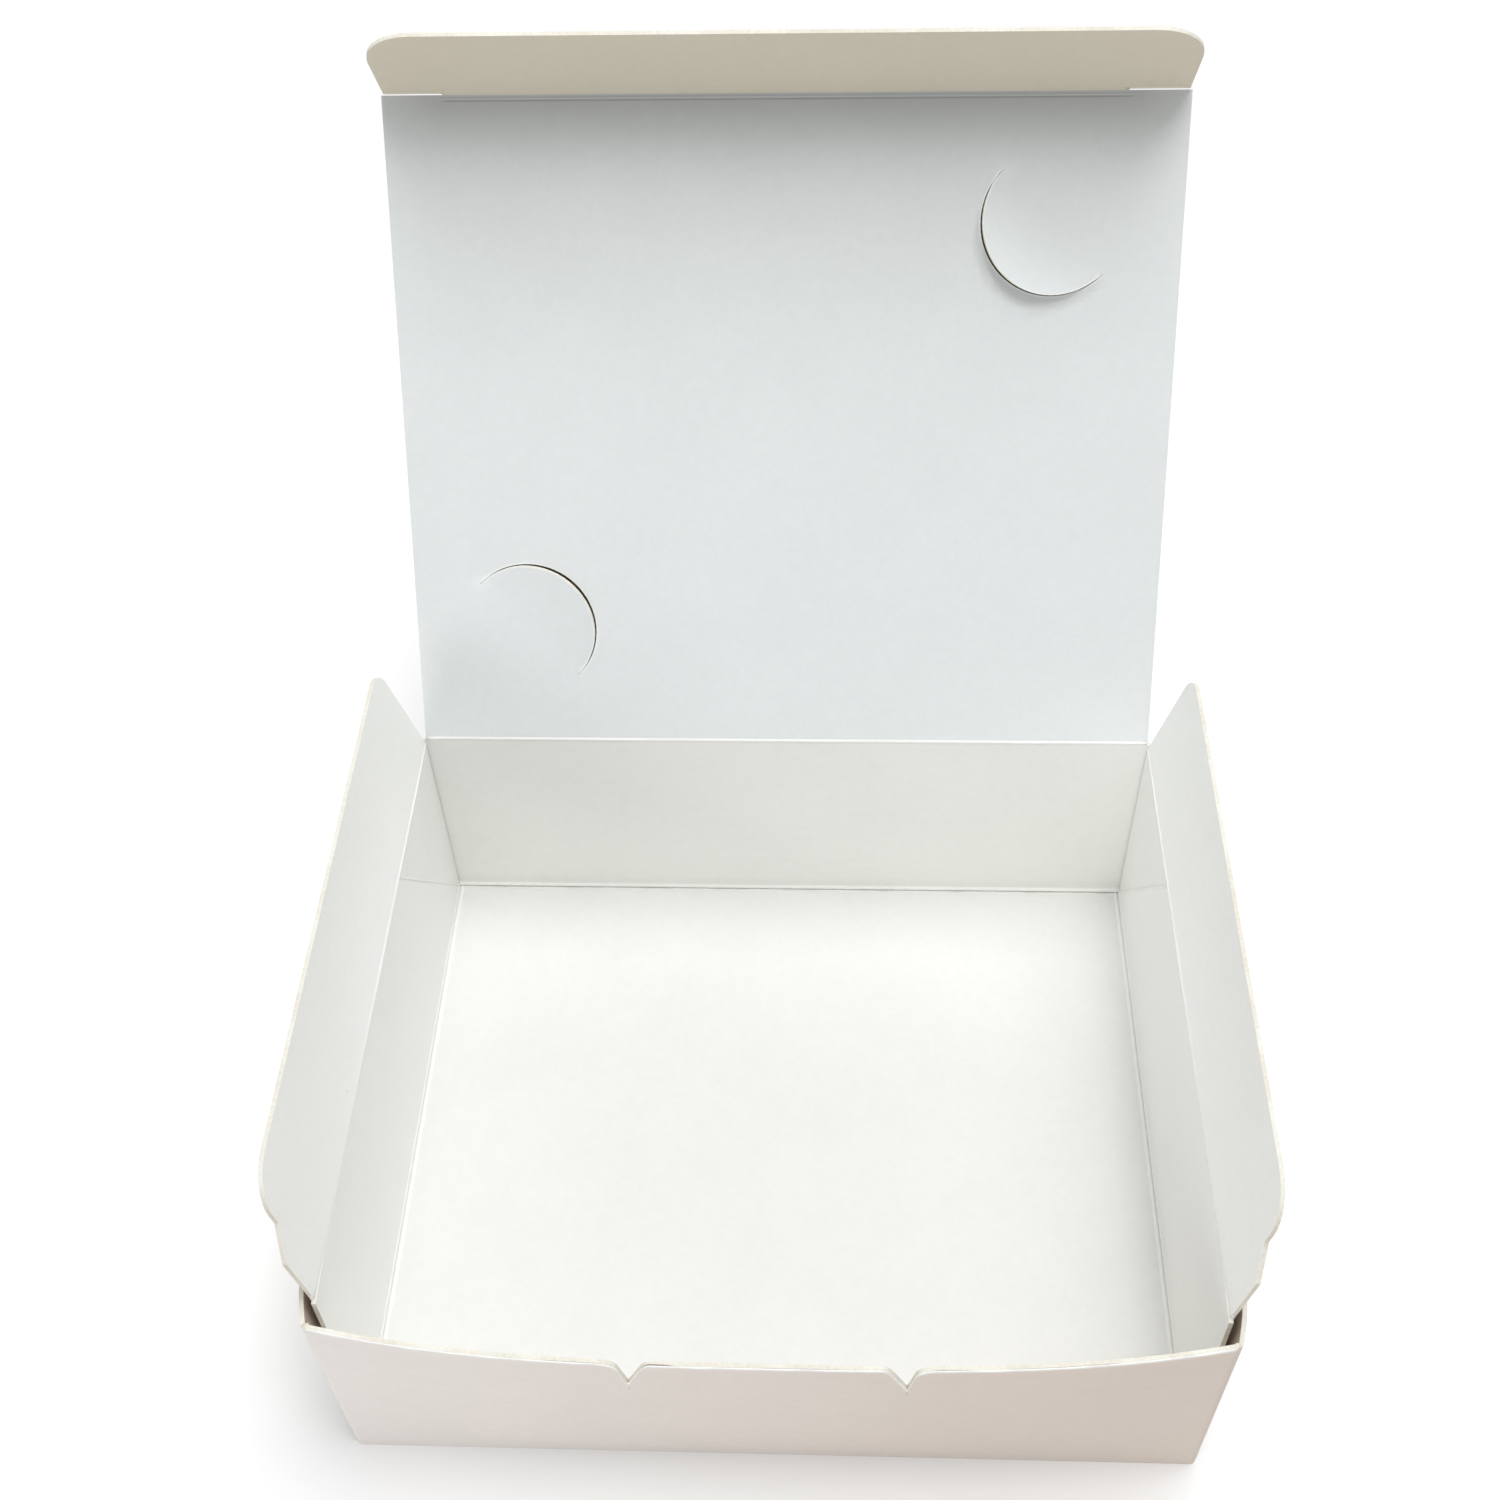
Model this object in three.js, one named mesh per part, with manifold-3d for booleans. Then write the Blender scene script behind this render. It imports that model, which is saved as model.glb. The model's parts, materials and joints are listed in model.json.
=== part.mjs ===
// Folding carton for a slice of cake, standing open: a tray with glued corners, two dust
// flaps, a hinged lid with two half-moon cuts, and a tuck flap along the lid's free edge.
// Millimetres, +Z up, +Y towards the lid's fold. The origin is the middle of the underside.
import * as THREE from 'three';
import { mergeVertices } from 'three/addons/utils/BufferGeometryUtils.js';
import Module from 'manifold-3d';

const wasm = await Module();
wasm.setup();

// Board and tray
const board = 0.8;
const boxWidth = 160;
const boxDepth = 135;
const lidFoldHeight = 53.4;
const foldGap = 0.5;
const lidOverFlap = 0.3;
const lidOverFront = 0.3;

// Front wall: it bows outward along its free top edge, between the two glued corners. A higher
// power gives a bow that is flat in the middle and turns in near the corners.
const frontBow = 5.5;
const frontBowPower = 3;
const notchOffset = 24;
const notchDepth = 10.5;
const notchOuterFoot = 1.5;
const notchOuterMouth = 6;
const notchInnerFoot = 2.8;
const notchInnerMouth = 4.6;
const notchShoulder = 2.2;
const notchSteepShoulder = 4.4;

// Side walls: the front end is relieved for the tuck flap and curls a little inward
const endRelief = 3.8;
const endReliefDepth = 34;
const endCurl = 0.3;
const curlReach = 13;

// Glued corner tabs, folded back from the front and back walls along the side walls
const tabReach = 34;
const tabDiagonalOffset = 3;
const tabDrop = 0.5;
const tabBulge = 2.0;
const tabBulgeReach = 22;

// Dust flaps
const flapWidth = 29.5;
const flapSplay = 9;
const flapBackClearance = 0.4;
const flapBackSlant = 5.5;
const flapTipRadius = 5;
const flapFrontInset = 4.6;
const flapStepInset = 4.5;
const flapStepWidth = 12.8;
const flapStepTop = 19;
const flapFrontRadius = 8;

// Lid
const lidLean = 61;
const lidSideClearance = 0.15;
const moonRadius = 14.2;
const upperMoonAcross = 53;
const lowerMoonAcross = 54.2;
const moonAlong = 41.7;
const moonKerf = 0.3;
const upperMoonLift = 2.5;
const lowerMoonLift = 1.5;
const moonRoot = 0.7;
const moonBendPower = 1.5;

// Tuck flap
const tuckReach = 22;
const tuckFold = 63.5;
const tuckFoldGap = 0.55;
const tuckClearance = 0.5;
const tuckCornerRadius = 10;
const tuckSideInset = 0.4;

// Curve resolution
const arcSteps = 8;
const bowSteps = 24;
const wallSteps = 6;
const moonSteps = 24;

// How far a cutting solid reaches past what it cuts
const cutMargin = 1.2;

// Sizes that follow from the ones above
const wallX = boxWidth / 2 - 1.5 * board;
const sideInnerX = wallX - board / 2;
const sideOuterX = wallX + board / 2;
const frontOuterY = -boxDepth / 2;
const frontInnerY = frontOuterY + board;
const backOuterY = boxDepth / 2;
const backInnerY = backOuterY - board;
const lidFoldY = backOuterY - board / 2;
const lidUnderside = lidFoldHeight - board / 2;
const backTop = lidFoldHeight - foldGap;
const frontTop = lidUnderside - lidOverFront;
const flapFoldHeight = lidUnderside - lidOverFlap - board / 2;
const sideTop = flapFoldHeight - foldGap;
const lidLength = lidFoldY - (frontInnerY + tuckClearance + board / 2);
const lidHalfWidth = sideInnerX - lidSideClearance;

const white = new THREE.MeshStandardMaterial({ color: 0xf1f1ed, roughness: 0.85, metalness: 0 });
const coolWhite = new THREE.MeshStandardMaterial({ color: 0xe9eeec, roughness: 0.85, metalness: 0 });
const shade = new THREE.MeshStandardMaterial({ color: 0xeae8df, roughness: 0.85, metalness: 0 });

// Geometry and solids

function solidOf(geometry) {
  const bare = geometry.index ? geometry.toNonIndexed() : geometry.clone();
  bare.deleteAttribute('normal');
  bare.deleteAttribute('uv');
  const merged = mergeVertices(bare, 1e-4);
  const vertProperties = new Float32Array(merged.attributes.position.array);
  const triVerts = new Uint32Array(merged.index.array);
  return new wasm.Manifold(new wasm.Mesh({ numProp: 3, vertProperties, triVerts }));
}

function geometryOf(solid) {
  const mesh = solid.getMesh();
  const geometry = new THREE.BufferGeometry();
  geometry.setAttribute('position', new THREE.BufferAttribute(new Float32Array(mesh.vertProperties), 3));
  geometry.setIndex(new THREE.BufferAttribute(new Uint32Array(mesh.triVerts), 1));
  geometry.computeVertexNormals();
  return geometry;
}

function boxSolid(low, high) {
  const size = new THREE.Vector3().subVectors(high, low);
  const geometry = new THREE.BoxGeometry(size.x, size.y, size.z);
  geometry.translate(low.x + size.x / 2, low.y + size.y / 2, low.z + size.z / 2);
  return solidOf(geometry);
}

// An outline drawn in its own plane, given a thickness centred on that plane
function plate(shape, thickness = board) {
  const geometry = new THREE.ExtrudeGeometry(shape, {
    depth: thickness,
    bevelEnabled: false,
    curveSegments: arcSteps,
  });
  return geometry.translate(0, 0, -thickness / 2);
}

// The same, stood upright: the outline's first axis runs along Y and its second up Z
function uprightPlate(shape, thickness = board) {
  const turn = new THREE.Matrix4().makeBasis(
    new THREE.Vector3(0, 1, 0),
    new THREE.Vector3(0, 0, 1),
    new THREE.Vector3(1, 0, 0),
  );
  return plate(shape, thickness).applyMatrix4(turn);
}

// A closed sheet between two faces, each a function of u and v from 0 to 1
function curvedSheet(uSteps, vSteps, face, back) {
  const positions = [];
  const index = [];
  const row = vSteps + 1;
  const layer = (uSteps + 1) * row;
  for (const side of [face, back]) {
    for (let i = 0; i <= uSteps; i += 1) {
      for (let j = 0; j <= vSteps; j += 1) {
        positions.push(...side(i / uSteps, j / vSteps).toArray());
      }
    }
  }
  const quad = (a, b, c, d) => index.push(a, b, c, a, c, d);
  for (let i = 0; i < uSteps; i += 1) {
    for (let j = 0; j < vSteps; j += 1) {
      const a = i * row + j;
      quad(a, a + row, a + row + 1, a + 1);
      quad(layer + a, layer + a + 1, layer + a + row + 1, layer + a + row);
    }
  }
  for (let i = 0; i < uSteps; i += 1) {
    const a = i * row;
    const b = a + vSteps;
    quad(a, layer + a, layer + a + row, a + row);
    quad(b, b + row, layer + b + row, layer + b);
  }
  for (let j = 0; j < vSteps; j += 1) {
    const b = uSteps * row + j;
    quad(j, j + 1, layer + j + 1, layer + j);
    quad(b, layer + b, layer + b + 1, b + 1);
  }
  const geometry = new THREE.BufferGeometry();
  geometry.setAttribute('position', new THREE.Float32BufferAttribute(positions, 3));
  geometry.setIndex(index);
  const solid = solidOf(geometry);
  if (solid.volume() > 0) return solid;
  // The faces came out turned inward, so each triangle is wound the other way
  geometry.setIndex(index.reverse());
  return solidOf(geometry);
}

// Tray

// How far the front wall stands out of its flat plane
function bowAt(x, z) {
  const across = Math.abs((2 * x) / boxWidth);
  return frontBow * (z / frontTop) * (1 - across ** frontBowPower);
}

function frontWall() {
  const at = (u, v, depth) => {
    const x = (u - 0.5) * boxWidth;
    const z = v * frontTop;
    return new THREE.Vector3(x, frontOuterY - bowAt(x, z) + depth, z);
  };
  let wall = curvedSheet(bowSteps, wallSteps, (u, v) => at(u, v, 0), (u, v) => at(u, v, board));
  for (const side of [-1, 1]) {
    wall = wall.subtract(solidOf(notchCutter(side)));
  }
  return wall;
}

// A V with rounded shoulders, steeper on the side towards the box's corner
function notchCutter(side) {
  const shape = new THREE.Shape();
  const above = frontTop + cutMargin;
  const outerX = (reach) => side * (notchOffset + reach);
  const innerX = (reach) => side * (notchOffset - reach);
  shape.moveTo(outerX(notchOuterMouth), above);
  shape.lineTo(outerX(notchOuterMouth), frontTop);
  shape.quadraticCurveTo(
    outerX(notchOuterFoot), frontTop, outerX(notchOuterFoot), frontTop - notchSteepShoulder,
  );
  shape.lineTo(side * notchOffset, frontTop - notchDepth);
  shape.lineTo(innerX(notchInnerFoot), frontTop - notchShoulder);
  shape.quadraticCurveTo(
    innerX((notchInnerFoot + notchInnerMouth) / 2), frontTop, innerX(notchInnerMouth), frontTop,
  );
  shape.lineTo(innerX(notchInnerMouth), above);
  const cutter = new THREE.ExtrudeGeometry(shape, {
    depth: frontBow + board + 2 * cutMargin,
    bevelEnabled: false,
    curveSegments: arcSteps,
  });
  return cutter.rotateX(Math.PI / 2).translate(0, frontInnerY + cutMargin, 0);
}

// How far a side wall curls inward at its front end
function curlAt(y, z) {
  const near = Math.max(0, frontInnerY + endRelief + curlReach - y) / curlReach;
  return endCurl * near * near * (z / sideTop);
}

function sideWall(side) {
  const start = frontInnerY;
  const run = backInnerY - start;
  // More steps where the front end curls
  const along = (u) => start + run * u * u;
  const at = (u, v, x) => {
    const y = along(u);
    const z = v * sideTop;
    return new THREE.Vector3(side * (x - curlAt(y, z)), y, z);
  };
  const inner = (u, v) => at(u, v, sideInnerX);
  const outer = (u, v) => at(u, v, sideOuterX);
  const wall = curvedSheet(bowSteps, wallSteps, inner, outer);
  const relief = boxSolid(
    new THREE.Vector3(-boxWidth, frontInnerY - cutMargin, sideTop - endReliefDepth),
    new THREE.Vector3(boxWidth, frontInnerY + endRelief, sideTop + cutMargin),
  );
  return wall.subtract(relief);
}

// A tab glued to the outside of a side wall, above the wall's diagonal crease
function cornerTab(side, end) {
  const top = sideTop - tabDrop;
  const low = (s) => Math.min(s + tabDiagonalOffset, top);
  const isFront = end < 0;
  const bulge = (s, z) => {
    if (!isFront || s > tabBulgeReach) return 0;
    return tabBulge * Math.sin((Math.PI * s) / tabBulgeReach) * (z / top);
  };
  const at = (u, v, x) => {
    const s = u * tabReach;
    const z = low(s) + v * (top - low(s));
    const y = isFront ? frontOuterY + s : backOuterY - s;
    return new THREE.Vector3(side * (x + bulge(s, z)), y, z);
  };
  const inner = (u, v) => at(u, v, sideOuterX);
  const outer = (u, v) => at(u, v, sideOuterX + board);
  return curvedSheet(bowSteps, wallSteps, inner, outer);
}

function traySolid() {
  const base = boxSolid(
    new THREE.Vector3(-sideOuterX, frontOuterY, 0),
    new THREE.Vector3(sideOuterX, backOuterY, board),
  );
  const backWall = boxSolid(
    new THREE.Vector3(-boxWidth / 2, backInnerY, 0),
    new THREE.Vector3(boxWidth / 2, backOuterY, backTop),
  );
  let tray = base.add(backWall).add(frontWall());
  for (const side of [-1, 1]) {
    tray = tray.add(sideWall(side));
    for (const end of [-1, 1]) {
      tray = tray.add(cornerTab(side, end));
    }
  }
  return tray;
}

// Dust flaps

// Outline of a dust flap: first axis along the crease towards the back, second away from it
function flapShape() {
  const back = backInnerY - flapBackClearance;
  const front = frontInnerY + flapFrontInset;
  const inset = front + flapStepInset;
  const slantAt = (w) => back - (flapBackSlant * w) / flapWidth;
  const shape = new THREE.Shape();
  shape.moveTo(front, foldGap);
  shape.lineTo(back, foldGap);
  shape.lineTo(slantAt(flapWidth - flapTipRadius), flapWidth - flapTipRadius);
  shape.quadraticCurveTo(
    slantAt(flapWidth), flapWidth, slantAt(flapWidth) - flapTipRadius, flapWidth,
  );
  shape.lineTo(inset + flapFrontRadius, flapWidth);
  shape.quadraticCurveTo(inset, flapWidth, inset, flapWidth - flapFrontRadius);
  shape.lineTo(inset, flapStepTop);
  shape.lineTo(front, flapStepWidth);
  return shape;
}

function dustFlap(side) {
  const name = side < 0 ? 'left_dust_flap' : 'right_dust_flap';
  const flap = new THREE.Mesh(uprightPlate(flapShape()), white);
  flap.name = name;
  const hinge = new THREE.Group();
  hinge.position.set(side * wallX, 0, flapFoldHeight);
  hinge.rotation.y = side * THREE.MathUtils.degToRad(flapSplay);
  hinge.add(flap);
  return hinge;
}

// Lid, in its own plane: X across, Y from the fold to the free edge, +Z the inside face

function lidPanel() {
  const shape = new THREE.Shape();
  shape.moveTo(-lidHalfWidth, foldGap);
  shape.lineTo(lidHalfWidth, foldGap);
  shape.lineTo(lidHalfWidth, lidLength - tuckFoldGap);
  shape.lineTo(-lidHalfWidth, lidLength - tuckFoldGap);
  return solidOf(plate(shape));
}

// A half-disc whose straight side runs diagonally; it bulges towards the lid's centre
function moonFrame(corner, across) {
  const centre = new THREE.Vector3(corner * across, lidLength / 2 + corner * moonAlong, 0);
  const chord = new THREE.Vector3(corner, -corner, 0).normalize();
  const bulge = new THREE.Vector3(-corner, -corner, 0).normalize();
  return { centre, chord, bulge };
}

function moonHole({ centre, chord, bulge }) {
  const radius = moonRadius + moonKerf / 2;
  const rim = [];
  for (let i = 0; i <= moonSteps; i += 1) {
    const angle = (Math.PI * i) / moonSteps;
    const point = centre.clone()
      .addScaledVector(chord, -radius * Math.cos(angle))
      .addScaledVector(bulge, radius * Math.sin(angle));
    rim.push(new THREE.Vector2(point.x, point.y));
  }
  return solidOf(plate(new THREE.Shape(rim), board + 2 * cutMargin));
}

// The tongue left by the cut, bent about its straight side so that its tip stands off the lid
function moonTongue({ centre, chord, bulge }, lift) {
  const radius = moonRadius - moonKerf / 2;
  const at = (u, v, side) => {
    const angle = Math.PI * u;
    const reach = radius * Math.sin(angle);
    const out = -moonRoot + v * (reach + moonRoot);
    const rise = lift * Math.pow(Math.max(0, out) / moonRadius, moonBendPower);
    return centre.clone()
      .addScaledVector(chord, -radius * Math.cos(angle))
      .addScaledVector(bulge, out)
      .setZ(rise + (side * board) / 2);
  };
  return curvedSheet(moonSteps, wallSteps, (u, v) => at(u, v, -1), (u, v) => at(u, v, 1));
}

function lidSolid() {
  let lid = lidPanel();
  const moons = [
    [1, upperMoonAcross, upperMoonLift],
    [-1, lowerMoonAcross, lowerMoonLift],
  ];
  for (const [corner, across, lift] of moons) {
    const frame = moonFrame(corner, across);
    lid = lid.subtract(moonHole(frame)).add(moonTongue(frame, lift));
  }
  return lid;
}

// Tuck flap, in its own plane: X across, Y from the lid's free edge outward
function tuckShape() {
  const width = lidHalfWidth - tuckSideInset;
  const corner = tuckCornerRadius;
  const shape = new THREE.Shape();
  shape.moveTo(-width, tuckFoldGap);
  shape.lineTo(width, tuckFoldGap);
  shape.lineTo(width, tuckReach - corner);
  shape.absarc(width - corner, tuckReach - corner, corner, 0, Math.PI / 2, false);
  shape.absarc(corner - width, tuckReach - corner, corner, Math.PI / 2, Math.PI, false);
  return shape;
}

// Assembly

const carton = new THREE.Group();

const tray = new THREE.Mesh(geometryOf(traySolid()), white);
tray.name = 'tray';
carton.add(tray);

for (const side of [-1, 1]) {
  carton.add(dustFlap(side));
}

const lidHinge = new THREE.Group();
lidHinge.position.set(0, lidFoldY, lidFoldHeight);
lidHinge.rotation.x = THREE.MathUtils.degToRad(lidLean);
carton.add(lidHinge);

const lid = new THREE.Mesh(geometryOf(lidSolid()), coolWhite);
lid.name = 'lid';
lidHinge.add(lid);

const tuckHinge = new THREE.Group();
tuckHinge.position.set(0, lidLength, 0);
tuckHinge.rotation.x = THREE.MathUtils.degToRad(tuckFold);
lidHinge.add(tuckHinge);

const tuck = new THREE.Mesh(plate(tuckShape()), shade);
tuck.name = 'tuck_flap';
tuckHinge.add(tuck);

export default carton;
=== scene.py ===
import json
import math
import bpy
import numpy as np
from mathutils import Matrix, Vector


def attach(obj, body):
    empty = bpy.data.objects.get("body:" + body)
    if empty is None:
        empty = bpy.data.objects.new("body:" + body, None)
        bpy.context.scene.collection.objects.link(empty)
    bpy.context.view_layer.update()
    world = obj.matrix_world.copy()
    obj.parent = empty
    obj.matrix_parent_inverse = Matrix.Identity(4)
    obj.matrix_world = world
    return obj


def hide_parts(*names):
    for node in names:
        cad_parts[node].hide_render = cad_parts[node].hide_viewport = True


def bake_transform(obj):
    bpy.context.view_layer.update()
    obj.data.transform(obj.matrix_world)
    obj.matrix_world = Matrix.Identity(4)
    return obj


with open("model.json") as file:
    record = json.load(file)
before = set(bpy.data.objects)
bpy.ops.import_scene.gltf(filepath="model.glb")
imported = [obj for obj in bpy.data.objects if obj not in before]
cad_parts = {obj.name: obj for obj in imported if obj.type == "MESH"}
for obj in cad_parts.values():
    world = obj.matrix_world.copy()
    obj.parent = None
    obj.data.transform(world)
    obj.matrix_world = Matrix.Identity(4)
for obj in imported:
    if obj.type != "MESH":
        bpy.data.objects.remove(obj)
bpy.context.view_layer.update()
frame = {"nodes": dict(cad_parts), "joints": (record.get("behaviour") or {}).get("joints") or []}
mm = 0.001
joints = {joint["name"]: joint for joint in frame["joints"]}
print("frame loaded:", len(frame["nodes"]), "nodes")

# What every panel shares. Lengths are in millimetres, angles in degrees and tones in shares of the
# card's own tone, unless a note says otherwise.
board = {
    "thickness": 0.8,
    "edgeRound": 0.07,
    "edgeSegments": 2,
    "edgeAngle": 50.0,  # edges sharper than this are rounded
    "foldGap": 0.5,
    "creaseBead": 0.2,  # height of the ridge that creasing leaves on the inside of a fold
    "beadBell": (0.7, 0.24),  # from the corner to the ridge's middle, and its spread
    "ridgeHighlight": 0.11,  # painted highlight: a ridge is painted whiter than the panel
    "valleyShade": -0.12,  # painted shade: the line in the corner itself is painted darker
    "valleyBell": (0.15, 0.2),
}
thick = board["thickness"]
half = thick / 2

lidPivot = np.array(joints["lid_hinge"]["pos_m"]) / mm
tuckPivot = np.array(joints["tuck_fold"]["pos_m"]) / mm
flapPivot = np.array(joints["right_flap_fold"]["pos_m"]) / mm


# Values from low to high, drawn together near every given place within reach of it
def gatheredLine(low, high, places, step, fineStep, reach):
    line = list(np.arange(low, high, step)) + [high]
    for place in places:
        line += list(np.arange(max(low, place - reach), min(high, place + reach), fineStep))
    line = np.unique(np.round(np.array(line), 4))
    keep = np.concatenate([[True], np.diff(line) > fineStep * 0.45])
    keep[-1] = True
    return line[keep]


# Three arrays of coordinates become one list of points
def pointsOf(x, y, z):
    return np.stack(np.broadcast_arrays(x, y, z), -1).reshape(-1, 3)


# Rows and columns of a grid become quads, wound so that the first axis crosses the second
def gridFaces(rows, columns):
    i, j = np.meshgrid(np.arange(rows - 1), np.arange(columns - 1), indexing="ij")
    first = (i * columns + j).ravel()
    return np.stack([first, first + columns, first + columns + 1, first + 1], 1)


# Puts sheets of quads together, joins corners that lie on each other and drops faces left empty
def weld(parts, tolerance=1e-4):
    points = np.concatenate([part[0] for part in parts])
    starts = np.cumsum([0] + [len(part[0]) for part in parts[:-1]])
    faces = np.concatenate([part[1] + start for part, start in zip(parts, starts)])
    keys = np.round(points / tolerance).astype(np.int64)
    _, firsts, inverse = np.unique(keys, axis=0, return_index=True, return_inverse=True)
    points = points[firsts]
    faces = inverse.reshape(-1)[faces]
    cleaned = []
    for face in faces:
        corners = [face[k] for k in range(4) if face[k] != face[k - 1]]
        if len(set(corners)) == len(corners) and len(corners) > 2:
            cleaned.append([int(corner) for corner in corners])
    return points, cleaned


def addObject(name, data):
    made = bpy.data.objects.new(name, data)
    bpy.context.scene.collection.objects.link(made)
    return made


# Makes a smooth-shaded mesh object from points in millimetres
def meshObject(name, points, faces, materials):
    mesh = bpy.data.meshes.new(name)
    mesh.from_pydata((np.asarray(points) * mm).tolist(), [], [list(face) for face in faces])
    mesh.validate()
    mesh.polygons.foreach_set("use_smooth", np.ones(len(mesh.polygons), bool))
    for material in materials:
        mesh.materials.append(material)
    mesh.update()
    return addObject(name, mesh)


# Stores a lighter or darker tone at each point, which the card materials read: mostly painted shade and
# painted highlights, with some of the card's own marks
def addTone(made, values):
    tones = made.data.attributes.new("paintedShadeAndTone", "FLOAT", "POINT")
    tones.data.foreach_set("value", np.asarray(values, dtype=np.float32))
    return made


# Gives a middle surface the board's thickness; the cut edge takes the second material
def thicken(made, thickness=thick):
    solidify = made.modifiers.new("boardThickness", "SOLIDIFY")
    solidify.thickness = thickness * mm
    solidify.offset = 0
    solidify.use_even_offset = True
    solidify.material_offset_rim = 1
    bevel = made.modifiers.new("cutEdgeRound", "BEVEL")
    bevel.width = board["edgeRound"] * mm
    bevel.segments = board["edgeSegments"]
    bevel.limit_method = "ANGLE"
    bevel.angle_limit = math.radians(board["edgeAngle"])
    bevel.harden_normals = True
    return made


# A tube of rings with both ends closed, turned the right way out: its signed volume is positive
def closedStrip(rings):
    stations, count = rings.shape[:2]
    ring = np.arange(count)
    i = np.arange(stations - 1)[:, None] * count
    after = (ring + 1) % count
    faces = np.stack([i + ring, i + after, i + count + after, i + count + ring], -1).reshape(-1, 4)
    points = rings.reshape(-1, 3)
    corners = (points - points.mean(0))[np.concatenate([faces[:, [0, 1, 2]], faces[:, [0, 2, 3]]])]
    volume = np.sum(corners[:, 0] * np.cross(corners[:, 1], corners[:, 2]))
    faces = faces.tolist() + [ring[::-1].tolist(), (ring + (stations - 1) * count).tolist()]
    if volume < 0:
        faces = [face[::-1] for face in faces]
    return points, faces


# A bell curve: one at its middle and about a third at one spread from it; flatter on top and
# steeper at its sides with a higher power
def bell(distance, middle, spread, power=2):
    return np.exp(-((distance - middle) / spread) ** power)


# Height of the crease ridge at a distance from the fold
def bead(distance):
    return board["creaseBead"] * bell(distance, *board["beadBell"])


# Painted highlight on the ridge and painted shade at the bottom of the fold, by these shares of the
# card's tone
def foldTone(distance):
    ridge = bell(distance, *board["beadBell"])
    valley = bell(distance, *board["valleyBell"])
    return board["ridgeHighlight"] * ridge + board["valleyShade"] * valley


# Nought up to low, one from high on, and an even curve between them
def smoothStep(low, high, value):
    t = np.clip((value - low) / (high - low), 0, 1)
    return t * t * (3 - 2 * t)


# A material's nodes: inputs may be numbers, colours or another node's output
class Graph:
    def __init__(self, name):
        self.material = bpy.data.materials.new(name)
        self.material.use_nodes = True
        self.nodes = self.material.node_tree.nodes
        self.links = self.material.node_tree.links
        self.shader = self.nodes["Principled BSDF"]

    def add(self, kind, inputs=None, **settings):
        node = self.nodes.new(kind)
        for key, value in settings.items():
            setattr(node, key, value)
        for key, value in (inputs or {}).items():
            self.feed(node.inputs[key], value)
        return node

    def feed(self, socket, value):
        if isinstance(value, bpy.types.NodeSocket):
            self.links.new(value, socket)
        else:
            socket.default_value = value

    # Adds relief, on top of an earlier bump's if there is one
    def bump(self, height, strength, distance, under=None):
        inputs = {"Height": height, "Strength": strength, "Distance": distance * mm}
        if under:
            inputs["Normal"] = under
        return self.add("ShaderNodeBump", inputs).outputs["Normal"]

    def dress(self, colour, normal, look):
        inputs = {"Base Color": colour, "Normal": normal, "Roughness": look["roughness"],
                  "Specular IOR Level": look["specular"]}
        for key, value in inputs.items():
            self.feed(self.shader.inputs[key], value)
        return self.material

    def math(self, operation, first, second=0.0, third=0.0):
        node = self.add("ShaderNodeMath", {0: first, 1: second, 2: third}, operation=operation)
        return node.outputs[0]

    def ramp(self, value, low, high, start=0.0, end=1.0):
        settings = {"Value": value, "From Min": low, "From Max": high, "To Min": start, "To Max": end}
        node = self.add("ShaderNodeMapRange", settings, interpolation_type="SMOOTHSTEP")
        return node.outputs["Result"]

    def mix(self, factor, first, second):
        colours = {"Factor": factor, "A": first, "B": second}
        return self.add("ShaderNodeMix", colours, data_type="RGBA").outputs["Result"]

    def axis(self, vector, name):
        return self.add("ShaderNodeSeparateXYZ", {"Vector": vector}).outputs[name]

    # Full up to the core on both sides of nought, and nothing past the edge
    def stripe(self, distance, core, edge, full=1.0):
        return self.ramp(self.math("ABSOLUTE", distance), core, edge, full, 0.0)

    def noise(self, place, scale, detail, roughness):
        settings = {"Vector": place, "Scale": scale, "Detail": detail, "Roughness": roughness}
        return self.add("ShaderNodeTexNoise", settings).outputs["Fac"]


cardLook = {
    "cloudScale": 45.0,  # soft mottling, about 20 mm across
    "cloudTone": (0.986, 1.006),
    "clumpScale": 520.0,  # clumps of fibre, about 2 mm
    "clumpTone": (0.986, 1.008),
    "fibreScale": 2300.0,  # single fibres, about half a millimetre
    "fibreTone": (0.988, 1.01),
    "noiseSpan": (0.3, 0.7),  # the part of the noise that is spread over each tone
    "speckSpacing": 55.0,  # cells that may hold one dark speck each
    "speckRadius": 0.014,
    "speckCore": 0.6,  # share of the radius that is fully dark
    "speckPick": 0.62,  # cells whose random value is above this have a speck
    "speckTone": -0.42,
    "clumpRelief": 0.6,  # share of the relief; the fibres have the rest
    "reliefStrength": 0.35,
    "reliefHeight": 0.08,
    "creaseHeight": 0.2,  # of relief that is drawn rather than modelled
    "shadeReach": 85.0,  # from the middle to where the right-hand colour is full
    "roughness": 0.72,
    "specular": 0.25,
}


# One where the surface faces the given way, nought where it faces away
def facing(g, way):
    normal = g.add("ShaderNodeTexCoord").outputs["Normal"]
    toward = g.add("ShaderNodeVectorMath", {0: normal, 1: way}, operation="DOT_PRODUCT")
    return g.math("GREATER_THAN", toward.outputs["Value"], 0.0)
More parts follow.
